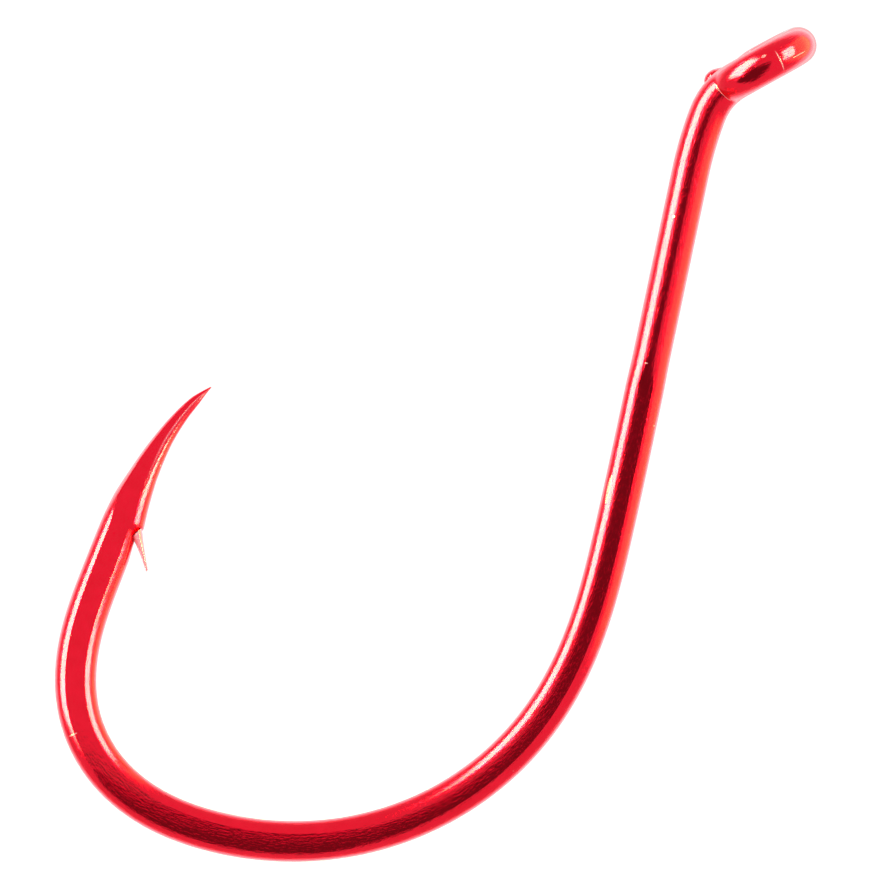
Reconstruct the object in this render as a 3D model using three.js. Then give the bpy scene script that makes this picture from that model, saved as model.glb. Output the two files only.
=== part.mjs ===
// A single fish hook with an up-turned ring eye, bent from one length of round steel wire.
//
// Units are millimetres, +Z up. The origin is the middle of the eye's hole. The straight shank runs along Z, the
// hook lies in a plane square to Y, the point is on the -X side and +X is the back of the hook. The real hook is
// one piece of wire. Here it is cut, square to its length, into the stretches that hook makers name, and each
// stretch is a closed solid that meets the next one face to face.
//
// A distance along the wire is measured from the top of the straight shank, down the shank and round the bend. It
// is negative up the neck and in the eye.

import * as THREE from "three";

// ---- Driving dimensions ----

const WIRE_R = 0.727; // radius of the round wire

// Neck, from the middle of the eye down: a straight piece, a tight bend and a slow sweep into the shank.
const EYE_TILT = 49.2; // degrees between the eye's plane and the shank
const NECK_STRAIGHT = 1.154;
const NECK_BEND_R = 2.5;
const NECK_SWEEP_R = 15;
const NECK_SWEEP_TURN = 9; // degrees

// Eye: a ring that stands square to the plane of the hook.
const RING_R = 1.56; // radius of the ring, to the middle of the wire
const RING_OFFSET = 0.5; // the middle of the ring is this far to the +Y side of the neck
const THROAT_R = 0.75; // the bend that takes the wire out from the neck to the ring
const RING_ENDS_AT = 130; // degrees round the ring, where the wire runs on straight to its end
const WIRE_END_RUN = 1.34; // length of that straight run
const WIRE_END_R = 0.46; // radius of the tapered, rounded end
const WIRE_END_TAPER = 2.4; // length of the taper
const RING_RISE = 0.1; // how far the far side of the ring is lifted out of the ring's plane
const RISE_RANGE = [0.35, 0.75]; // where this rise begins and ends, as shares of the loop's length
const WIRE_END_RISE = 0.56; // the rise of the wire end, which lies over the back of the neck

// Bend: degrees of turn for each millimetre of wire, at these distances.
const TURN_RATE = [
  [8, 0],
  [14, 0.3],
  [18, 3.2],
  [22, 5.2],
  [36, 4.45],
  [40, 9.8],
  [43, 11.3],
  [46, 6.8],
  [49, -0.2],
  [52, 2],
  [57.2, 9],
];

// Kirb: degrees by which the front of the hook leans to the +Y side.
const LEAN = [
  [36, 0],
  [43, 8],
];

// Where one stretch of the wire ends and the next begins.
const EYE_STARTS = -2.9;
const SHANK_STARTS = 0;
const FORGING_STARTS = 7.4;
const BEND_STARTS = 13.8;
const LOWER_BEND_STARTS = 25;
const FRONT_BEND_STARTS = 36;
const SPEAR_STARTS = 46;
const BARB_ROOT = 50.8;
const TIP = 57.2;

// Section of the wire. Below the round part of the shank it is pressed flat on both sides, which spreads it in the
// plane of the hook. The columns are the distance along the wire, the half-width to the outer and to the inner side
// of the bend, half the thickness, and how far the flats reach to the outer and to the inner side.
const ROUND_FLAT = 0.137; // the round wire has a facet of twice this width on each side too
const ROUND = [WIRE_R, WIRE_R, Math.sqrt(WIRE_R ** 2 - ROUND_FLAT ** 2), ROUND_FLAT, ROUND_FLAT];
const SECTIONS = [
  [SHANK_STARTS, ...ROUND],
  [FORGING_STARTS, ...ROUND],
  [8.4, 0.75, 0.75, 0.64, 0.3, 0.21],
  [LOWER_BEND_STARTS, 0.77, 0.77, 0.61, 0.3, 0.21],
  [FRONT_BEND_STARTS, 0.795, 0.795, 0.61, 0.38, 0.34],
  [SPEAR_STARTS, 0.8, 0.8, 0.59, 0.4, 0.38],
  [49.6, 0.79, 0.79, 0.58, 0.42, 0.38],
  [BARB_ROOT, 0.78, 0.68, 0.58, 0.42, 0.34],
];
const POINT_SECTIONS = [
  [BARB_ROOT, 0.78, 0.872, 0.58, 0.46, 0.42],
  [51.8, 0.722, 0.722, 0.53, 0.58, 0.29],
  [52.9, 0.555, 0.555, 0.42, 0.45, 0.13],
  [54.5, 0.366, 0.366, 0.28, 0.28, 0],
  [56.4, 0.197, 0.197, 0.13, 0.14, -0.03],
  [TIP, 0.02, 0.02, 0.02, 0.012, 0.012],
];

// Barb: a tongue cut from the inner side. It joins the point and its other end stands clear of the wire.
const BARB_LENGTH = 1.4;
const BARB_RAISED = 38; // degrees between the barb and the wire
const BARB_UNDERSIDE = 0.69; // distance of its root's underside from the middle of the wire
const BARB_TOPSIDE = 0.86;
const BARB_HALF_WIDTH = 0.34;
const BARB_TAPER = [1, 0.62, 0.15]; // size at the root, half way and at the tip
const BARB_EDGE = 0.45; // its root is full width up to this share of its thickness
const BARB_CREST = 0.5; // and narrows to this share of the width at the top

// Facets: sections along the wire are this far apart, and each rounded side has this many facets.
const SECTION_STEP = 0.8;
const EYE_STEP = 0.3;
const SIDE_FACETS = 7;
const END_DOME = [0.25, 0.12, 0.04, 0]; // distances from the wire's end of the sections that round it off
const END_FACET = 0.02; // the last of them closes to the size it would have this far from the end
const SPINE_STEP = 0.05; // step of the sum that traces the middle of the wire

const RED_LACQUER = { color: "#e8142c", roughness: 0.15, metalness: 1 };

// ---- Tables and vectors ----

const rad = THREE.MathUtils.degToRad;
const along = (h) => new THREE.Vector3(-Math.sin(rad(h)), 0, -Math.cos(rad(h)));
const inward = (h) => new THREE.Vector3(-Math.cos(rad(h)), 0, Math.sin(rad(h)));

// Row of a table at distance s, with straight lines between the rows and the end rows held beyond them.
function lookUp(table, s) {
  const at = THREE.MathUtils.clamp(s, table[0][0], table.at(-1)[0]);
  const next = Math.max(1, table.findIndex((row) => row[0] >= at));
  const [a, b] = [table[next - 1], table[next]];
  const share = (at - a[0]) / (b[0] - a[0]);
  return a.slice(1).map((value, column) => THREE.MathUtils.lerp(value, b[column + 1], share));
}

// ---- Middle line of the wire ----

const NECK_BEND_TURN = EYE_TILT - NECK_SWEEP_TURN;
const NECK_BEND_LENGTH = NECK_BEND_R * rad(NECK_BEND_TURN);
const NECK_SWEEP_LENGTH = NECK_SWEEP_R * rad(NECK_SWEEP_TURN);
const EYE_MIDDLE = -(NECK_STRAIGHT + NECK_BEND_LENGTH + NECK_SWEEP_LENGTH);

// Degrees of turn for each millimetre at distance s. The neck turns the other way from the bend.
function turnRate(s) {
  if (s < -NECK_SWEEP_LENGTH - NECK_BEND_LENGTH) return 0;
  if (s < -NECK_SWEEP_LENGTH) return -NECK_BEND_TURN / NECK_BEND_LENGTH;
  if (s < 0) return -NECK_SWEEP_TURN / NECK_SWEEP_LENGTH;
  return lookUp(TURN_RATE, s)[0];
}

// The middle line in the plane of the hook, followed from the middle of the eye to the tip in small steps. A
// heading is 0 down the shank, 90 along the bottom of the bend and 180 up the front.
function traceSpine() {
  const points = [{ s: EYE_MIDDLE, middle: new THREE.Vector3(), heading: EYE_TILT, side: -RING_OFFSET }];
  const steps = Math.ceil((TIP - EYE_MIDDLE) / SPINE_STEP);
  const step = (TIP - EYE_MIDDLE) / steps;
  for (let i = 0; i < steps; i++) {
    const last = points[i];
    const turn = turnRate(last.s + step / 2) * step;
    const middle = last.middle.clone().addScaledVector(along(last.heading + turn / 2), step);
    const side = last.side + Math.tan(rad(lookUp(LEAN, last.s + step / 2)[0])) * step;
    points.push({ s: last.s + step, middle, heading: last.heading + turn, side });
  }
  return points;
}

const SPINE = traceSpine();

// Place on the wire at distance s: its middle, moved sideways (along Y) and lifted to the inner side, and the
// direction of the inner side there. Distances beyond the middle of the eye carry on straight.
function place(s, sideways = 0, lift = 0) {
  const steps = (SPINE.length - 1) * THREE.MathUtils.clamp((s - EYE_MIDDLE) / (TIP - EYE_MIDDLE), 0, 1);
  const index = Math.min(Math.floor(steps), SPINE.length - 2);
  const [a, b] = [SPINE[index], SPINE[index + 1]];
  const share = steps - index;
  const heading = THREE.MathUtils.lerp(a.heading, b.heading, share);
  const beyond = Math.min(0, s - EYE_MIDDLE);
  const middle = a.middle.clone().lerp(b.middle, share).addScaledVector(along(heading), beyond);
  middle.y += THREE.MathUtils.lerp(a.side, b.side, share) + sideways;
  middle.addScaledVector(inward(heading), lift);
  return { middle, inner: inward(heading) };
}

// ---- Solids swept along the wire ----

// Arc of one rounded side, from flat to flat, through its edge at y = 0.
function sideArc(edge, half, flat) {
  const centre = (edge ** 2 - flat ** 2 - half ** 2) / (2 * (edge - flat));
  const radius = edge - centre;
  const reach = Math.atan2(half, flat - centre);
  const angles = Array.from({ length: SIDE_FACETS + 1 }, (_, i) => -reach + (2 * reach * i) / SIDE_FACETS);
  return angles.map((a) => new THREE.Vector2(centre + radius * Math.cos(a), radius * Math.sin(a)));
}

// Outline of the wire, with x to the inner side and y across the thickness.
function outline([outer, inner, half, flatOuter, flatInner]) {
  const innerSide = sideArc(inner, half, flatInner);
  const outerSide = sideArc(outer, half, flatOuter).map((p) => p.negate());
  return [...innerSide, ...outerSide];
}

const circleOutline = (radius) => outline(ROUND.map((value) => (value * radius) / WIRE_R));

// Turns places and outlines into rings of points. Each ring is square to the line through its neighbours, or to
// the direction that its place states.
function ringsOf(places, outlines) {
  return places.map((here, i) => {
    const before = places[Math.max(i - 1, 0)].middle;
    const after = places[Math.min(i + 1, places.length - 1)].middle;
    const forward = here.forward ?? after.clone().sub(before).normalize();
    const inner = here.inner.clone().addScaledVector(forward, -here.inner.dot(forward)).normalize();
    const side = new THREE.Vector3().crossVectors(forward, inner);
    return outlines[i].map((p) => here.middle.clone().addScaledVector(inner, p.x).addScaledVector(side, p.y));
  });
}

// Closed solid through rings of points that all have the same count.
function skin(rings) {
  const count = rings[0].length;
  const index = [];
  for (let r = 0; r + 1 < rings.length; r++) {
    for (let i = 0; i < count; i++) {
      const [a, b] = [r * count + i, r * count + ((i + 1) % count)];
      index.push(a, b, b + count, a, b + count, a + count);
    }
  }
  const last = (rings.length - 1) * count;
  for (let i = 1; i + 1 < count; i++) index.push(0, i + 1, i, last, last + i, last + i + 1);
  const geometry = new THREE.BufferGeometry().setFromPoints(rings.flat());
  geometry.setIndex(index);
  geometry.computeVertexNormals();
  return geometry;
}

// Distances from one end of a stretch to the other, with a section at each row of the table in between.
function distances(from, to, table) {
  const stops = [from, ...table.map((row) => row[0]).filter((s) => s > from && s < to), to];
  const list = [from];
  for (let i = 1; i < stops.length; i++) {
    const pieces = Math.ceil((stops[i] - stops[i - 1]) / SECTION_STEP);
    for (let k = 1; k <= pieces; k++) list.push(THREE.MathUtils.lerp(stops[i - 1], stops[i], k / pieces));
  }
  return list;
}

// Direction of the wire at distance s, which two stretches share where they meet.
function directionAt(s) {
  const [before, after] = [place(s - SPINE_STEP), place(s + SPINE_STEP)];
  return after.middle.sub(before.middle).normalize();
}

function stretch(from, to, table = SECTIONS) {
  const list = distances(from, to, table);
  const places = list.map((s) => ({ ...place(s), forward: directionAt(s) }));
  return skin(ringsOf(places, list.map((s) => outline(lookUp(table, s)))));
}

// ---- Eye ----

// The loop laid flat: x runs up from the middle of the ring, y to the side from the neck. The wire comes up the
// neck, bends out to the -Y side, goes round the ring and ends straight, close beside the neck.
function loopPath() {
  const throatX = -Math.sqrt((RING_R + THROAT_R) ** 2 - (RING_OFFSET + THROAT_R) ** 2);
  const meets = Math.atan2(RING_OFFSET + THROAT_R, -throatX);
  const ends = rad(RING_ENDS_AT);
  const path = new THREE.Path();
  path.moveTo(EYE_MIDDLE - EYE_STARTS, 0);
  path.lineTo(throatX, 0);
  path.absarc(throatX, -THROAT_R, THROAT_R, Math.PI / 2, meets, true);
  path.absarc(0, RING_OFFSET, RING_R, Math.PI + meets, 2 * Math.PI + ends, false);
  path.lineTo(
    RING_R * Math.cos(ends) - WIRE_END_RUN * Math.sin(ends),
    RING_OFFSET + RING_R * Math.sin(ends) + WIRE_END_RUN * Math.cos(ends),
  );
  return path;
}

// Radius of the loop's wire at a distance from the rounded end: a half-ball, a taper, then the full wire.
function loopRadius(fromEnd) {
  if (fromEnd < WIRE_END_R) return Math.sqrt(WIRE_END_R ** 2 - (WIRE_END_R - Math.max(fromEnd, END_FACET)) ** 2);
  return THREE.MathUtils.lerp(WIRE_END_R, WIRE_R, THREE.MathUtils.smoothstep(fromEnd, WIRE_END_R, WIRE_END_TAPER));
}

// Lift out of the ring's plane: none on the near side, a little on the far side, more along the straight end.
function loopLift(fromEnd, length) {
  const farSide = THREE.MathUtils.smoothstep(1 - fromEnd / length, ...RISE_RANGE);
  const end = 1 - THREE.MathUtils.smoothstep(fromEnd, 0, WIRE_END_RUN);
  return RING_RISE * farSide + (WIRE_END_RISE - RING_RISE) * end;
}

function eye() {
  const path = loopPath();
  const length = path.getLength();
  const dome = END_DOME.map((fromEnd) => length - fromEnd);
  const pieces = Math.ceil((length - WIRE_END_R) / EYE_STEP);
  const run = Array.from({ length: pieces + 1 }, (_, i) => ((length - WIRE_END_R) * i) / pieces);
  const stops = [...run, ...dome];
  const places = stops.map((stop) => {
    const flat = path.getPointAt(stop / length);
    return place(EYE_MIDDLE - flat.x, flat.y, loopLift(length - stop, length));
  });
  places[0].forward = directionAt(EYE_STARTS).negate();
  return skin(ringsOf(places, stops.map((stop) => circleOutline(loopRadius(length - stop)))));
}

// ---- Barb ----

function barb() {
  const { middle, inner } = place(BARB_ROOT);
  const back = directionAt(BARB_ROOT).negate();
  const thickness = BARB_TOPSIDE - BARB_UNDERSIDE;
  const root = [
    [0, -1],
    [BARB_EDGE, -1],
    [1, -BARB_CREST],
    [1, BARB_CREST],
    [BARB_EDGE, 1],
    [0, 1],
  ].map(([t, w]) => new THREE.Vector2(t * thickness, w * BARB_HALF_WIDTH));
  const lean = inner.clone().multiplyScalar(Math.sin(rad(BARB_RAISED)));
  lean.addScaledVector(back, Math.cos(rad(BARB_RAISED)));
  const foot = middle.clone().addScaledVector(inner, BARB_UNDERSIDE);
  const places = BARB_TAPER.map((_, i) => ({
    middle: foot.clone().addScaledVector(lean, (BARB_LENGTH * i) / (BARB_TAPER.length - 1)),
    inner,
    forward: back,
  }));
  const outlines = BARB_TAPER.map((scale) => root.map((p) => p.clone().multiplyScalar(scale)));
  return skin(ringsOf(places, outlines));
}

// ---- The hook ----

const hook = new THREE.Group();

function addPiece(name, geometry) {
  const mesh = new THREE.Mesh(geometry, new THREE.MeshStandardMaterial(RED_LACQUER));
  mesh.name = name;
  hook.add(mesh);
}

addPiece("eye", eye());
addPiece("neck", stretch(EYE_STARTS, SHANK_STARTS));
addPiece("shank", stretch(SHANK_STARTS, FORGING_STARTS));
addPiece("forged_shank", stretch(FORGING_STARTS, BEND_STARTS));
addPiece("rear_bend", stretch(BEND_STARTS, LOWER_BEND_STARTS));
addPiece("lower_bend", stretch(LOWER_BEND_STARTS, FRONT_BEND_STARTS));
addPiece("front_bend", stretch(FRONT_BEND_STARTS, SPEAR_STARTS));
addPiece("spear", stretch(SPEAR_STARTS, BARB_ROOT));
addPiece("barb", barb());
addPiece("point", stretch(BARB_ROOT, TIP, POINT_SECTIONS));

export default hook;
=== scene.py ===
# A single red fish hook with an up-turned ring eye: bright steel wire under a clear red lacquer.
# It hangs by its eye over a pale floor, in a white light tent.

import math

import bpy
from mathutils import Matrix, Vector


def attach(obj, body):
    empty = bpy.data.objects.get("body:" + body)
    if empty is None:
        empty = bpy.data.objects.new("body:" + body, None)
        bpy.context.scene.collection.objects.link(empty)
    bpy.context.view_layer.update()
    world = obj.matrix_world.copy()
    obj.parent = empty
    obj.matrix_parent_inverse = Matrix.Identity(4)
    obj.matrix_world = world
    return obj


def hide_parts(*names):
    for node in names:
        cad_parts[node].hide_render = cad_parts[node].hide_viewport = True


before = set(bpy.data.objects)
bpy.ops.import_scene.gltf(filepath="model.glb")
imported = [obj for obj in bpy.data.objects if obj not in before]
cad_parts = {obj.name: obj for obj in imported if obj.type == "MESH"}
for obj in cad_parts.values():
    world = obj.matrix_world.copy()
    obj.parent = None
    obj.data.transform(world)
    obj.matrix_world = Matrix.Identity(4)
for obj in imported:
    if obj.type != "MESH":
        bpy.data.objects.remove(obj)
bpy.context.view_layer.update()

scene = bpy.context.scene
MM = 0.001

# ---- Dimensions, in millimetres and degrees ----

WIRE_R = 0.727  # radius of the round wire

# Neck, from the middle of the eye down: a straight piece, a tight bend and a slow sweep into the shank.
EYE_TILT = 49.2  # between the eye's plane and the shank
NECK_STRAIGHT = 1.154
NECK_BEND_R = 2.5
NECK_SWEEP_R = 15
NECK_SWEEP_TURN = 9

# Eye
RING_R = 1.56  # to the middle of the wire
RING_OFFSET = 0.5  # from the neck to the ring's middle, to the +Y side
THROAT_R = 0.75  # the bend from the neck out to the ring
RING_ENDS_AT = 130  # round the ring, where the wire runs on straight to its end
WIRE_END_RUN = 1.34  # length of that straight run
WIRE_END_R = 0.46  # radius of the rounded end
WIRE_END_TAPER = 2.4  # length of the taper to it
RING_RISE = 0.1  # the far side of the ring is lifted this much
RISE_RANGE = (0.35, 0.75)  # between these shares of the loop's length
WIRE_END_RISE = 0.56  # the wire's end lies this high, over the back of the neck

# Turn of the wire for each millimetre, and its lean to the +Y side. The distances along the wire count from the
# top of the straight shank and are negative up the neck and in the eye.
TURN_RATE = [
    (8, 0), (14, 0.3), (18, 3.2), (22, 5.2), (36, 4.45), (40, 9.8), (43, 11.3), (46, 6.8), (49, -0.2),
    (52, 2), (57.2, 9),
]
LEAN = [(36, 0), (43, 8)]

EYE_STARTS = -2.9
TIP = 57.2

# Section of the wire: half-width to the outer and to the inner side of the bend, half the thickness, and how
# far the pressed flats reach to the outer and to the inner side.
ROUND_FLAT = 0.137  # the round wire has a facet of twice this width on each side
ROUND = (WIRE_R, WIRE_R, math.sqrt(WIRE_R**2 - ROUND_FLAT**2), ROUND_FLAT, ROUND_FLAT)
SECTIONS = [
    (7.4, *ROUND),
    (8.4, 0.75, 0.75, 0.64, 0.3, 0.21),
    (25, 0.77, 0.77, 0.61, 0.3, 0.21),
    (36, 0.795, 0.795, 0.61, 0.38, 0.34),
    (46, 0.8, 0.8, 0.59, 0.4, 0.38),
    (49.6, 0.79, 0.79, 0.58, 0.42, 0.38),
    (50.66, 0.782, 0.68, 0.58, 0.42, 0.34),
    (50.94, 0.775, 0.872, 0.57, 0.46, 0.42),
    (51.8, 0.722, 0.722, 0.53, 0.58, 0.29),
    (52.9, 0.555, 0.555, 0.42, 0.45, 0.13),
    (54.5, 0.366, 0.366, 0.28, 0.28, 0),
    (56.4, 0.197, 0.197, 0.13, 0.14, -0.03),
    (TIP, 0.02, 0.02, 0.02, 0.012, 0.012),
]
CROWN = 0.012  # the flats stand this much proud in their middle

# Barb: a tongue cut up from the inner side. Its foot slopes from the notch under it up to the crest, which is
# the point's inner edge.
BARB_NOTCH = (50.4, 0.66)  # distance along the wire, and from its middle
BARB_CREST = (50.88, 0.86)
BARB_LENGTH = 1.4
BARB_RAISED = 36  # degrees between the barb and the wire
BARB_HALF_WIDTH = 0.52
BARB_SUNK = 0.12  # its foot lies this deep in the wire
BARB_TAPER = (1, 0.86, 0.73, 0.62, 0.52, 0.44, 0.37, 0.3, 0.24, 0.17)  # its thickness at each step to the tip
BARB_NARROWING = 0.8  # its width follows this power of its thickness
BARB_CORNERS = 24  # of its oval outline

# Painted highlight: a paler lacquer colour painted on the point's ground face and on the barb, where the lacquer
# is also thinner and duller. 0 where the lacquer has its full depth and 1 where it is gone.
PAINTED_HIGHLIGHT_SPAN = (51.5, 55.5)  # the painted highlight grows and the lacquer thins between these distances along the wire
PAINTED_HIGHLIGHT_AT_RIDGE = 0.5
PAINTED_HIGHLIGHT_AT_EDGE = 0.03
RIDGE_TO_EDGE = (0.05, 0.3)  # shares of the ground face over which one becomes the other
PAINTED_HIGHLIGHT_ON_BARB = (0.75, 0.3)  # on its raw underside and on its top
BARB_SIDES_BLEND = 0.05  # from its middle to each of these two sides

# Rings of points along the wire: how far from the wire's end they round it off, how many there are round the
# loop, and how many in each stretch from there to the tip. They stand closer together at the barb.
END_DOME = (0.006, 0.025, 0.06, 0.11, 0.18, 0.26, 0.36)
LOOP_RINGS = 84
WIRE_RINGS = ((EYE_STARTS, 50.2, 168), (50.2, 51.2, 14), (51.2, TIP, 32))

SIDE_FACETS = 20  # of each rounded side
FLAT_FACETS = 6  # of each flat
RING_POINTS = 2 * (SIDE_FACETS + FLAT_FACETS)

# Edges that turn by more degrees than this stay crisp.
CRISP_ON_WIRE = 11
CRISP_ON_BARB = 40


def rad(degrees):
    return math.radians(degrees)


def lerp(a, b, t):
    return a + (b - a) * t


def ease(value, low, high):
    """0 below low, 1 above high, and smooth between them."""
    t = min(max((value - low) / (high - low), 0), 1)
    return t * t * (3 - 2 * t)


def look_up(table, s):
    """The row of a table at distance s, with straight lines between its rows."""
    s = min(max(s, table[0][0]), table[-1][0])
    for low, high in zip(table, table[1:]):
        if s <= high[0]:
            t = (s - low[0]) / (high[0] - low[0])
            return [lerp(a, b, t) for a, b in zip(low[1:], high[1:])]


# ---- Middle line of the wire ----


def along(heading):
    return Vector((-math.sin(rad(heading)), 0, -math.cos(rad(heading))))


def inward(heading):
    return Vector((-math.cos(rad(heading)), 0, math.sin(rad(heading))))


NECK_BEND_TURN = EYE_TILT - NECK_SWEEP_TURN
NECK_BEND_LENGTH = NECK_BEND_R * rad(NECK_BEND_TURN)
NECK_SWEEP_LENGTH = NECK_SWEEP_R * rad(NECK_SWEEP_TURN)
EYE_MIDDLE = -(NECK_STRAIGHT + NECK_BEND_LENGTH + NECK_SWEEP_LENGTH)
SPINE_STEPS = 1250


def turn_rate(s):
    if s < -NECK_SWEEP_LENGTH - NECK_BEND_LENGTH:
        return 0
    if s < -NECK_SWEEP_LENGTH:
        return -NECK_BEND_TURN / NECK_BEND_LENGTH
    if s < 0:
        return -NECK_SWEEP_TURN / NECK_SWEEP_LENGTH
    return look_up(TURN_RATE, s)[0]


def trace_spine():
    """The middle line followed from the middle of the eye to the tip in small steps, with its heading."""
    middle, heading, s = Vector((0, -RING_OFFSET, 0)), EYE_TILT, EYE_MIDDLE
    step = (TIP - EYE_MIDDLE) / SPINE_STEPS
    points = [(middle.copy(), heading)]
    for _ in range(SPINE_STEPS):
        turn = turn_rate(s + step / 2) * step
        middle = middle + along(heading + turn / 2) * step
        middle.y += math.tan(rad(look_up(LEAN, s + step / 2)[0])) * step
        heading += turn
        s += step
        points.append((middle.copy(), heading))
    return points


SPINE = trace_spine()


def place(s, sideways=0, lift=0):
    """The wire's middle at distance s, moved to the +Y side and the inner side, and the inner direction."""
    steps = SPINE_STEPS * min(max((s - EYE_MIDDLE) / (TIP - EYE_MIDDLE), 0), 1)
    index = min(int(steps), SPINE_STEPS - 1)
    (a, heading_a), (b, heading_b) = SPINE[index], SPINE[index + 1]
    heading = lerp(heading_a, heading_b, steps - index)
    middle = a.lerp(b, steps - index) + along(heading) * min(0, s - EYE_MIDDLE)
    return middle + Vector((0, sideways, 0)) + inward(heading) * lift, inward(heading)


# ---- The eye's loop ----

THROAT_X = -math.sqrt((RING_R + THROAT_R) ** 2 - (RING_OFFSET + THROAT_R) ** 2)
THROAT_MEETS = math.atan2(RING_OFFSET + THROAT_R, -THROAT_X)
LOOP_FOOT = THROAT_X - (EYE_MIDDLE - EYE_STARTS)
THROAT_TURN = math.pi / 2 - THROAT_MEETS
RING_TURN = math.pi + rad(RING_ENDS_AT) - THROAT_MEETS
RING_FROM = LOOP_FOOT + THROAT_TURN * THROAT_R
RING_TO = RING_FROM + RING_TURN * RING_R
LOOP_LENGTH = RING_TO + WIRE_END_RUN


def loop_point(run):
    """The loop laid flat, at a distance run from its foot: up the neck, out to the side, round and straight."""
    if run < LOOP_FOOT:
        return THROAT_X - LOOP_FOOT + run, 0
    if run < RING_FROM:
        a = math.pi / 2 - (run - LOOP_FOOT) / THROAT_R
        return THROAT_X + THROAT_R * math.cos(a), THROAT_R * (math.sin(a) - 1)
    if run < RING_TO:
        a = math.pi + THROAT_MEETS + (run - RING_FROM) / RING_R
        return RING_R * math.cos(a), RING_OFFSET + RING_R * math.sin(a)
    a, on = rad(RING_ENDS_AT), run - RING_TO
    return RING_R * math.cos(a) - on * math.sin(a), RING_OFFSET + RING_R * math.sin(a) + on * math.cos(a)


def loop_station(run):
    x, y = loop_point(run)
    from_end = LOOP_LENGTH - run
    lift = RING_RISE * ease(run / LOOP_LENGTH, *RISE_RANGE)
    lift += (WIRE_END_RISE - RING_RISE) * (1 - ease(from_end, 0, WIRE_END_RUN))
    radius = lerp(WIRE_END_R, WIRE_R, ease(from_end, WIRE_END_R, WIRE_END_TAPER))
    if from_end < WIRE_END_R:
        radius = math.sqrt(WIRE_END_R**2 - (WIRE_END_R - from_end) ** 2)
    middle, inner = place(EYE_MIDDLE - x, y, lift)
    section = [value * radius / WIRE_R for value in ROUND]
    return {"s": EYE_STARTS - run, "middle": middle, "inner": inner, "section": section}


def wire_stations():
    """Where the wire's rings stand, from its rounded end round the eye and down to the tip of the point."""
    found = [loop_station(LOOP_LENGTH - from_end) for from_end in END_DOME]
    found += [loop_station((LOOP_LENGTH - WIRE_END_R) * (1 - i / LOOP_RINGS)) for i in range(LOOP_RINGS)]
    stops = [lerp(low, high, i / count) for low, high, count in WIRE_RINGS for i in range(count)]
    for s in (*stops, TIP):
        middle, inner = place(s)
        found.append({"s": s, "middle": middle, "inner": inner, "section": look_up(SECTIONS, s)})
    for i, here in enumerate(found):
        before, after = found[max(i - 1, 0)], found[min(i + 1, len(found) - 1)]
        forward = (after["middle"] - before["middle"]).normalized()
        inner = (here["inner"] - forward * here["inner"].dot(forward)).normalized()
        here["axes"] = Matrix((inner, forward.cross(inner), forward)).transposed()
    return found


# ---- Modelling ----


def start(name, adding, **how):
    """Adds a primitive on its own, applies its place and goes into edit mode with all of it selected."""
    bpy.ops.object.select_all(action="DESELECT")
    adding(**how)
    piece = bpy.context.object
    piece.name = piece.data.name = name
    bpy.ops.object.transform_apply(location=True, rotation=True, scale=True)
    bpy.ops.object.mode_set(mode="EDIT")
    bpy.ops.mesh.select_all(action="SELECT")
    return piece


def turn_selected(turn, centre):
    """Turns what is selected by a rotation matrix, about one axis after another."""
    for axis, angle in zip("XYZ", turn.to_euler("XYZ")):
        if abs(angle) > 1e-7:
            bpy.ops.transform.rotate(value=-angle, orient_axis=axis, center_override=centre)


def finish_mesh(crisp):
    """Ends the modelling of a piece: faces outwards, sharp edges crisp and the rest smooth."""
    bpy.ops.mesh.select_all(action="SELECT")
    bpy.ops.mesh.normals_make_consistent(inside=False)
    bpy.ops.object.mode_set(mode="OBJECT")
    bpy.ops.object.shade_smooth_by_angle(angle=rad(crisp))


def outline(section):
    """The wire's outline: x to the inner side and y across the thickness, in order of angle."""
    outer, inner, half, flat_outer, flat_inner = section
    points = []
    for edge, flat, way in ((inner, flat_inner, 1), (outer, flat_outer, -1)):
        centre = (edge**2 - flat**2 - half**2) / (2 * (edge - flat))
        reach = math.atan2(half, flat - centre)
        for i in range(SIDE_FACETS + 1):
            a = lerp(-reach, reach, i / SIDE_FACETS)
            points.append((way * (centre + (edge - centre) * math.cos(a)), way * (edge - centre) * math.sin(a)))
    for way in (1, -1):
        for i in range(1, FLAT_FACETS):
            t = i / FLAT_FACETS
            rise = CROWN * (half / ROUND[2]) * 4 * t * (1 - t)
            points.append((lerp(-flat_outer, flat_inner, t), way * (half + rise)))
    return sorted(points, key=lambda point: round_from_seam(*point))


def round_from_seam(x, y):
    """Angle round the wire, counted from just past its outer edge."""
    angle = math.atan2(y, x)
    return angle + 2 * math.pi if angle < -math.pi + math.pi / RING_POINTS else angle


def lacquer_attributes(mesh):
    """The wire laid out straight, in millimetres along and across it both ways, and its share of painted
    highlight, where the lacquer is also thinner and duller.
    """
    kinds = {"laid_straight": "FLOAT_VECTOR", "painted_highlight": "FLOAT"}
    for name, kind in kinds.items():
        mesh.attributes.new(name, kind, "POINT")
    return [mesh.attributes[name] for name in kinds]


def painted_highlight_share(s, x, section):
    """The share of painted highlight, a pale line painted on the ground face on the point's inner side, most at
    its ridge, where the lacquer is also thinner and duller.
    """
    inner, flat = section[1], section[4]
    across = (x - flat) / (inner - flat)
    if across < 0.01:  # on the flats and on the outer side
        return 0
    return ease(s, *PAINTED_HIGHLIGHT_SPAN) * lerp(PAINTED_HIGHLIGHT_AT_RIDGE, PAINTED_HIGHLIGHT_AT_EDGE, ease(across, *RIDGE_TO_EDGE))


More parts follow.
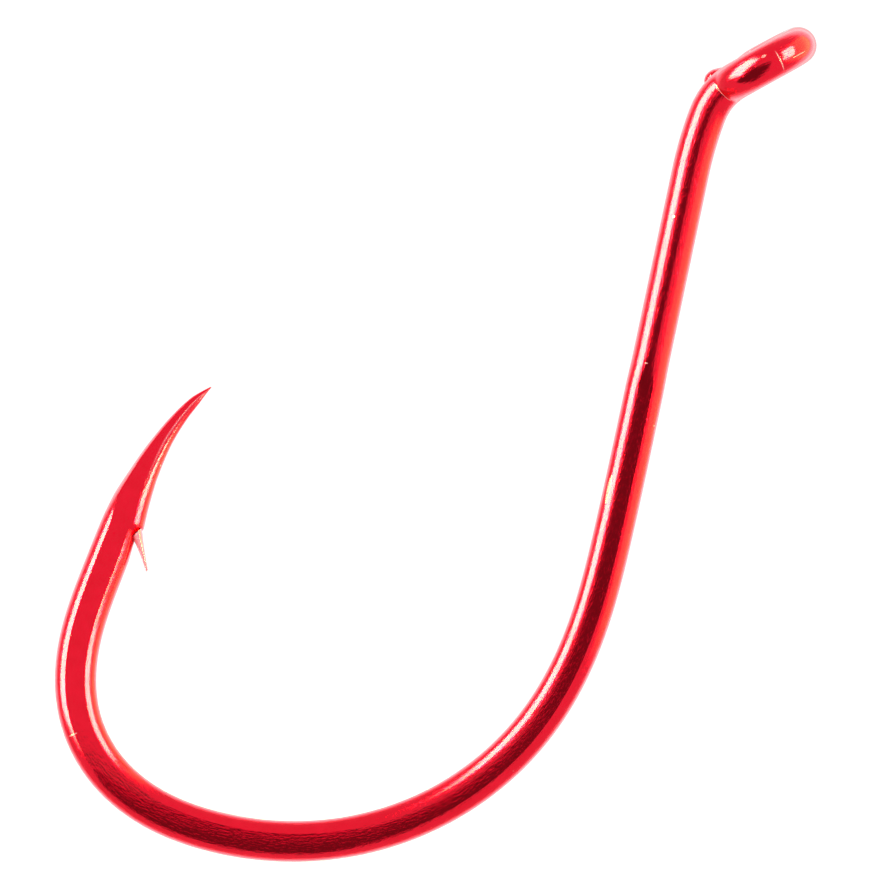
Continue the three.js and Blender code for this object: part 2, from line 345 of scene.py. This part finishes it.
def draw_wire(name, stations):
    """Draws a disc out along the stations and turns it at each, as a round wire, then presses the flats.

    The section changes all the way round the bend, which no operator follows, so the pressing puts each ring's
    points where the forging dies leave them.
    """
    first = stations[0]
    piece = start(
        name, bpy.ops.mesh.primitive_circle_add, vertices=RING_POINTS, radius=WIRE_R * MM, fill_type="NGON",
        location=first["middle"] * MM, rotation=first["axes"].to_euler(),
    )
    for before, here in zip(stations, stations[1:]):
        step = (here["middle"] - before["middle"]) * MM
        bpy.ops.mesh.extrude_region_move(TRANSFORM_OT_translate={"value": step})
        turn_selected(here["axes"] @ before["axes"].transposed(), here["middle"] * MM)
    finish_mesh(CRISP_ON_WIRE)
    mesh = piece.data
    laid_straight, painted_highlight = lacquer_attributes(mesh)
    for number, here in enumerate(stations):
        back = here["axes"].transposed()
        local = []
        for index in range(number * RING_POINTS, (number + 1) * RING_POINTS):
            spot = back @ (mesh.vertices[index].co / MM - here["middle"])
            local.append((round_from_seam(spot.x, spot.y), index))
        for (_, index), (x, y) in zip(sorted(local), outline(here["section"])):
            mesh.vertices[index].co = (here["middle"] + here["axes"] @ Vector((x, y, 0))) * MM
            laid_straight.data[index].vector = (here["s"], x, y)
            # The pale painted highlight on the point's ground face, where the lacquer is also thinner and
            # duller.
            painted_highlight.data[index].value = painted_highlight_share(here["s"], x, here["section"])
    mesh.update()
    bpy.ops.object.shade_smooth_by_angle(angle=rad(CRISP_ON_WIRE))
    return piece


wire = draw_wire("hook_wire", wire_stations())


def cut_barb():
    """Draws an oval foot, which stands on the slope from notch to crest, out to a thin narrow tip."""
    notch, inner = place(BARB_NOTCH[0], lift=BARB_NOTCH[1])
    crest, _ = place(BARB_CREST[0], lift=BARB_CREST[1])
    slope = (crest - notch).normalized()
    side = slope.cross(inner).normalized()
    ahead = inner.cross(side)
    lean = inner * math.sin(rad(BARB_RAISED)) - ahead * math.cos(rad(BARB_RAISED))
    axes = Matrix((slope, side, slope.cross(side))).transposed()
    foot = (notch + crest) / 2 - lean * BARB_SUNK
    piece = start(
        "barb_tongue", bpy.ops.mesh.primitive_circle_add, vertices=BARB_CORNERS, radius=MM, fill_type="NGON",
        location=foot * MM, rotation=axes.to_euler(),
    )

    def resize(thickness, width, centre):
        bpy.ops.transform.resize(
            value=(thickness, width, 1), center_override=centre * MM,
            orient_type="LOCAL", orient_matrix=axes.to_3x3(), orient_matrix_type="LOCAL",
        )

    resize((crest - notch).length / 2, BARB_HALF_WIDTH, foot)
    step = lean * ((BARB_LENGTH + BARB_SUNK) / (len(BARB_TAPER) - 1))
    for number, (before, here) in enumerate(zip(BARB_TAPER, BARB_TAPER[1:]), 1):
        bpy.ops.mesh.extrude_region_move(TRANSFORM_OT_translate={"value": step * MM})
        resize(here / before, (here / before) ** BARB_NARROWING, foot + step * number)
    finish_mesh(CRISP_ON_BARB)
    laid_straight, painted_highlight = lacquer_attributes(piece.data)
    upward = slope - lean * slope.dot(lean)
    for vertex in piece.data.vertices:
        laid_straight.data[vertex.index].vector = vertex.co / MM
        height = (vertex.co / MM - foot).dot(upward)
        blend = ease(height, -BARB_SIDES_BLEND, BARB_SIDES_BLEND)
        # The barb gets a painted highlight, palest on its raw underside, where the lacquer is also thinner and
        # duller.
        painted_highlight.data[vertex.index].value = lerp(*PAINTED_HIGHLIGHT_ON_BARB, blend)
    return piece


barb = cut_barb()


# ---- Materials ----


def linear(code):
    """An sRGB hex colour as linear numbers."""
    values = [int(code[i : i + 2], 16) / 255 for i in (1, 3, 5)]
    return [v / 12.92 if v <= 0.04045 else ((v + 0.055) / 1.055) ** 2.4 for v in values] + [1]


def add(tree, kind, inputs=None, **settings):
    """Adds a node with its settings, and sets or links its inputs by name or number."""
    node = tree.nodes.new(kind)
    for name, value in settings.items():
        setattr(node, name, value)
    for name, value in (inputs or {}).items():
        if isinstance(value, bpy.types.NodeSocket):
            tree.links.new(value, node.inputs[name])
        else:
            node.inputs[name].default_value = value
    return node


def fresh_tree(owner):
    owner.use_nodes = True
    owner.node_tree.nodes.clear()
    return owner.node_tree


def round_ring(past_front):
    """The distance s of a spot on the ring, in degrees past its foremost one towards the eye's far end."""
    return EYE_STARTS - RING_FROM - (math.pi / 2 - THROAT_MEETS + rad(past_front)) * RING_R


# Scuffs in the lacquer on the front: where they are along and across the wire, and half their length and width.
SCUFFS = [
    (round_ring(17), -0.15, 0.022, 0.42),
    (round_ring(40), -0.3, 0.24, 0.02),
    (round_ring(4.5), 0.3, 0.07, 0.055),
    (7.5, 0.15, 0.03, 0.07),
    (12.55, 0.56, 0.55, 0.06),
    (42.5, -0.45, 0.03, 0.18),
    (EYE_STARTS - (LOOP_FOOT + RING_FROM) / 2, -0.1, 0.3, 0.4),
]
FRONT = -0.7  # where the front of the wire lies through its thickness
SCUFF_DEPTH = 1  # so that no scuff reaches the back

# Sizes of what the lacquer shows, in millimetres.
LINE_LENGTH, LINE_SPACING = 0.25, 0.0625
PEEL = 0.625
DUST_SPACING = 1.25
NIB = (0.045, 0.02)  # a nib's foot and its full height, in shares of the dust's spacing
RELIEF = 0.006  # height of the peel
LINE_HEIGHT, NIB_HEIGHT = 2, 0.8  # beside the peel's


def red_lacquered_steel():
    """Bright plated steel wire under a clear red lacquer: a tinted mirror with a thin hard gloss over it.

    The die leaves fine lines along the wire. The dipped lacquer lies over them with a slight peel, a few nibs of
    dust, each lightened as a painted glint, and some pale scuffs. Where it is scuffed it is paler and duller. On
    the point's ground face and on the barb a painted highlight makes it paler, and the lacquer there is thinner
    and duller.
    """
    material = bpy.data.materials.new("red_lacquered_steel")
    tree = fresh_tree(material)
    spot = add(tree, "ShaderNodeAttribute", attribute_name="laid_straight").outputs["Vector"]
    line_scale = (1 / LINE_LENGTH, 1 / LINE_SPACING, 1 / LINE_SPACING)
    lines = add(tree, "ShaderNodeVectorMath", {0: spot, 1: line_scale}, operation="MULTIPLY").outputs[0]
    drawing = add(tree, "ShaderNodeTexNoise", {"Vector": lines, "Scale": 1, "Detail": 3}).outputs[0]
    peel = add(tree, "ShaderNodeTexNoise", {"Vector": spot, "Scale": 1 / PEEL, "Detail": 3}).outputs[0]
    dust = add(tree, "ShaderNodeTexVoronoi", {"Vector": spot, "Scale": 1 / DUST_SPACING}).outputs["Distance"]
    # Dust nibs: a real bump, with their colour lightened as a painted glint.
    nib_and_glint = add(tree, "ShaderNodeMapRange", {0: dust, 1: NIB[0], 2: NIB[1]}).outputs[0]

    scuff = 0
    for s, x, half_length, half_width in SCUFFS:
        offset = add(tree, "ShaderNodeVectorMath", {0: spot, 1: (s, x, FRONT)}, operation="SUBTRACT").outputs[0]
        size = (half_length, half_width, SCUFF_DEPTH)
        shares = add(tree, "ShaderNodeVectorMath", {0: offset, 1: size}, operation="DIVIDE").outputs[0]
        reach = add(tree, "ShaderNodeVectorMath", {0: shares}, operation="LENGTH").outputs["Value"]
        mark = add(tree, "ShaderNodeMapRange", {0: reach, 1: 1.1, 2: 0.7}).outputs[0]
        scuff = add(tree, "ShaderNodeMath", {0: scuff, 1: mark}, operation="MAXIMUM").outputs[0]
    # Share of the painted highlight, a paler colour where the lacquer is also thinner and duller.
    thin = add(tree, "ShaderNodeAttribute", attribute_name="painted_highlight").outputs["Fac"]
    streaks = add(tree, "ShaderNodeMapRange", {0: drawing, 1: 0.35, 2: 0.6, 3: 0.8, 4: 1.15}).outputs[0]
    painted_highlight_streaks = add(tree, "ShaderNodeMath", {0: thin, 1: streaks}, operation="MULTIPLY").outputs[0]
    scuffs_and_painted_highlight = add(tree, "ShaderNodeMath", {0: scuff, 1: thin}, operation="MAXIMUM").outputs[0]

    # Over the red: a random peel, dust nibs lightened as painted glints, real pale scuffs, and the pale painted
    # highlight on the point and the barb.
    colour = linear("#DC0A22")
    for share, over in ((peel, "#F01230"), (nib_and_glint, "#F99088"), (scuff, "#F0948B"), (painted_highlight_streaks, "#F8BAC4")):
        colour = add(
            tree, "ShaderNodeMix", {"Factor": share, "A": colour, "B": linear(over)}, data_type="RGBA"
        ).outputs["Result"]
    metal = add(tree, "ShaderNodeMapRange", {0: scuffs_and_painted_highlight, 1: 0, 2: 0.5, 3: 1, 4: 0}).outputs[0]
    rough = add(tree, "ShaderNodeMapRange", {0: scuffs_and_painted_highlight, 1: 0, 2: 0.5, 3: 0.08, 4: 0.32}).outputs[0]

    height = peel
    for relief, share in ((drawing, LINE_HEIGHT), (nib_and_glint, NIB_HEIGHT)):
        height = add(
            tree, "ShaderNodeMath", {0: relief, 1: share, 2: height}, operation="MULTIPLY_ADD"
        ).outputs[0]
    bump = add(tree, "ShaderNodeBump", {"Height": height, "Strength": 1, "Distance": RELIEF * MM}).outputs[0]
    surface = add(
        tree, "ShaderNodeBsdfPrincipled",
        {
            "Base Color": colour, "Metallic": metal, "Roughness": rough, "Normal": bump,
            "Coat Weight": 0.2, "Coat Roughness": 0.03, "Coat IOR": 1.5,
        },
    )
    add(tree, "ShaderNodeOutputMaterial", {"Surface": surface.outputs[0]})
    return material


lacquer = red_lacquered_steel()
for piece, nodes in (
    (wire, ("eye", "neck", "shank", "forged_shank", "rear_bend", "lower_bend", "front_bend", "spear", "point")),
    (barb, ("barb",)),
):
    piece.data.materials.append(lacquer)
    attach(piece, "root")
    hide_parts(*nodes)

# ---- Camera, floor and light ----

VIEW_MIDDLE = Vector((-9.1, 0, -16.69)) * MM
VIEW_WIDTH = 34.04 * MM
LENS, SENSOR = 1000, 36
ROLL = 11.8  # the shank leans this much in the view
RIGHT = Vector((math.cos(rad(ROLL)), 0, math.sin(rad(ROLL))))
UP = Vector((-math.sin(rad(ROLL)), 0, math.cos(rad(ROLL))))
TOWARDS = Vector((0, -1, 0))

bpy.ops.object.camera_add()
camera = bpy.context.object
camera.data.lens = LENS
camera.data.sensor_width = SENSOR
camera.data.clip_start, camera.data.clip_end = 0.05, 6
stand = VIEW_MIDDLE + TOWARDS * (VIEW_WIDTH * LENS / SENSOR)
camera.matrix_world = Matrix.Translation(stand) @ Matrix((RIGHT, UP, TOWARDS)).transposed().to_4x4()
scene.camera = camera

scene.view_settings.view_transform = "Standard"

FLOOR_SIZE = 2.4
FLOOR_HEIGHT = -0.045
FIBRES = 900  # knots of fibres in a metre


def white_paper():
    """Matt white background paper, with its faint felt of fibres."""
    material = bpy.data.materials.new("white_paper")
    tree = fresh_tree(material)
    spot = add(tree, "ShaderNodeTexCoord").outputs["Object"]
    felt = add(tree, "ShaderNodeTexNoise", {"Vector": spot, "Scale": FIBRES, "Detail": 4})
    bump = add(tree, "ShaderNodeBump", {"Height": felt.outputs[0], "Strength": 0.1, "Distance": 0.05 * MM})
    surface = add(
        tree, "ShaderNodeBsdfPrincipled",
        {"Base Color": linear("#F7F7F6"), "Roughness": 0.9, "Normal": bump.outputs[0]},
    )
    add(tree, "ShaderNodeOutputMaterial", {"Surface": surface.outputs[0]})
    return material


bpy.ops.object.select_all(action="DESELECT")
bpy.ops.mesh.primitive_plane_add(size=FLOOR_SIZE, location=(VIEW_MIDDLE.x, 0, FLOOR_HEIGHT))
floor = bpy.context.object
floor.name = "floor"
floor.data.materials.append(white_paper())
floor.visible_glossy = False


# The hook hangs in a white light tent, whose walls have a brightness of 1. A place on them is a direction from
# the hook, given by its shares to the right, up and towards the camera.
#
# Panels: degrees round the camera's axis from its right-hand side and off that axis, half the size away from
# the axis and round it, how soft each edge is, and the brightness.
BRIGHT_PANELS = [
    (156, 62, 19, 27, 0.14, 0.3, 66),  # left softbox
    (22, 59, 14, 22, 0.1, 0.2, 54),  # right softbox
    (18, 90, 35, 40, 0.35, 0.35, 4.6),  # side wall on the right, lit by the softbox
]
DARK_PANELS = [
    (246, 33, 28, 30, 0.15, 0.2, 1),  # the camera's stand and table below it on the left
]
WARM_LAMP = (1, 0.98, 0.39, 1)
LAMP_FROM, LAMP_TO = 1, 3  # the light takes the lamps' colour between these brightnesses

# The opening for the camera. Each edge is where it ends and where it has its full darkness.
OPENING_SIDE = (0.34, 0.28)
OPENING_BELOW = (-0.2, -0.15)
OPENING_ABOVE = (0.13, 0.07)
OPENING_AHEAD = (0.3, 0.4)
DARKNESS = 0.2

# A bright ring on the back wall, round its middle. Its edges are given in the same way.
BACK_RING = ((-0.32, -0.52), (-0.95, -0.8))
BACK_BRIGHTNESS = 2.6

ROOM_LIGHT = 1.12  # what falls on matt surfaces


def window(tree, edges):
    """An area with soft edges: 1 inside all of them and 0 past any of them."""
    mask = 1
    for value, ends, full in edges:
        edge = add(
            tree, "ShaderNodeMapRange", {0: value, 1: ends, 2: full}, interpolation_type="SMOOTHSTEP"
        ).outputs[0]
        mask = add(tree, "ShaderNodeMath", {0: mask, 1: edge}, operation="MULTIPLY").outputs[0]
    return mask


def brightest_panel(tree, look, panels):
    """Brightness of the panels, each one square to its own direction from the hook."""
    light = 0
    for turn, off_axis, half_width, half_height, soft_width, soft_height, brightness in panels:
        across = RIGHT * math.cos(rad(turn)) + UP * math.sin(rad(turn))
        normal = TOWARDS * math.cos(rad(off_axis)) + across * math.sin(rad(off_axis))
        away = across * math.cos(rad(off_axis)) - TOWARDS * math.sin(rad(off_axis))
        facing, outwards, round_axis = [
            add(tree, "ShaderNodeVectorMath", {0: look, 1: direction}, operation="DOT_PRODUCT").outputs["Value"]
            for direction in (normal, away, TOWARDS.cross(across))
        ]
        ahead = add(tree, "ShaderNodeMath", {0: facing, 1: 0.001}, operation="MAXIMUM").outputs[0]
        edges = [(facing, 0, 0.1)]  # nothing behind the panel's plane
        for part, half, soft in ((outwards, half_width, soft_width), (round_axis, half_height, soft_height)):
            slant = add(tree, "ShaderNodeMath", {0: part, 1: ahead}, operation="DIVIDE").outputs[0]
            reach = add(tree, "ShaderNodeMath", {0: slant}, operation="ABSOLUTE").outputs[0]
            edge = math.tan(rad(half))
            edges.append((reach, edge + soft / 2, edge - soft / 2))
        lit = add(
            tree, "ShaderNodeMath", {0: window(tree, edges), 1: brightness}, operation="MULTIPLY"
        ).outputs[0]
        light = add(tree, "ShaderNodeMath", {0: light, 1: lit}, operation="MAXIMUM").outputs[0]
    return light


def light_tent():
    """A white tent round the hook, open and dark where the camera looks in, with a softbox on each side."""
    world = bpy.data.worlds.new("light_tent")
    scene.world = world
    tree = fresh_tree(world)
    look = add(tree, "ShaderNodeTexCoord").outputs["Generated"]
    right, up, towards = [
        add(tree, "ShaderNodeVectorMath", {0: look, 1: direction}, operation="DOT_PRODUCT").outputs["Value"]
        for direction in (RIGHT, UP, TOWARDS)
    ]

    opening = window(tree, [
        (right, -OPENING_SIDE[0], -OPENING_SIDE[1]), (right, *OPENING_SIDE), (up, *OPENING_BELOW),
        (up, *OPENING_ABOVE), (towards, *OPENING_AHEAD),
    ])
    stand = brightest_panel(tree, look, DARK_PANELS)
    dark = add(tree, "ShaderNodeMath", {0: opening, 1: stand}, operation="MAXIMUM").outputs[0]
    shade = add(
        tree, "ShaderNodeMapRange", {0: dark, 3: 1, 4: DARKNESS}, interpolation_type="SMOOTHSTEP"
    ).outputs[0]

    ring = window(tree, [(towards, *edge) for edge in BACK_RING])
    walls = add(
        tree, "ShaderNodeMapRange", {0: ring, 3: 1, 4: BACK_BRIGHTNESS}, interpolation_type="SMOOTHSTEP"
    ).outputs[0]
    lamps = brightest_panel(tree, look, BRIGHT_PANELS)
    bright = add(tree, "ShaderNodeMath", {0: walls, 1: lamps}, operation="MAXIMUM").outputs[0]
    tent = add(tree, "ShaderNodeMath", {0: bright, 1: shade}, operation="MULTIPLY").outputs[0]

    glossy = add(tree, "ShaderNodeLightPath").outputs["Is Glossy Ray"]
    strength = add(tree, "ShaderNodeMix", {"Factor": glossy, "A": ROOM_LIGHT, "B": tent}).outputs["Result"]
    lamp_share = add(
        tree, "ShaderNodeMapRange", {0: lamps, 1: LAMP_FROM, 2: LAMP_TO}, interpolation_type="SMOOTHSTEP"
    ).outputs[0]
    warm = add(tree, "ShaderNodeMath", {0: glossy, 1: lamp_share}, operation="MULTIPLY").outputs[0]
    colour = add(
        tree, "ShaderNodeMix", {"Factor": warm, "A": (1, 1, 1, 1), "B": WARM_LAMP}, data_type="RGBA"
    ).outputs["Result"]
    glow = add(tree, "ShaderNodeBackground", {"Color": colour, "Strength": strength})
    add(tree, "ShaderNodeOutputWorld", {"Surface": glow.outputs[0]})


light_tent()
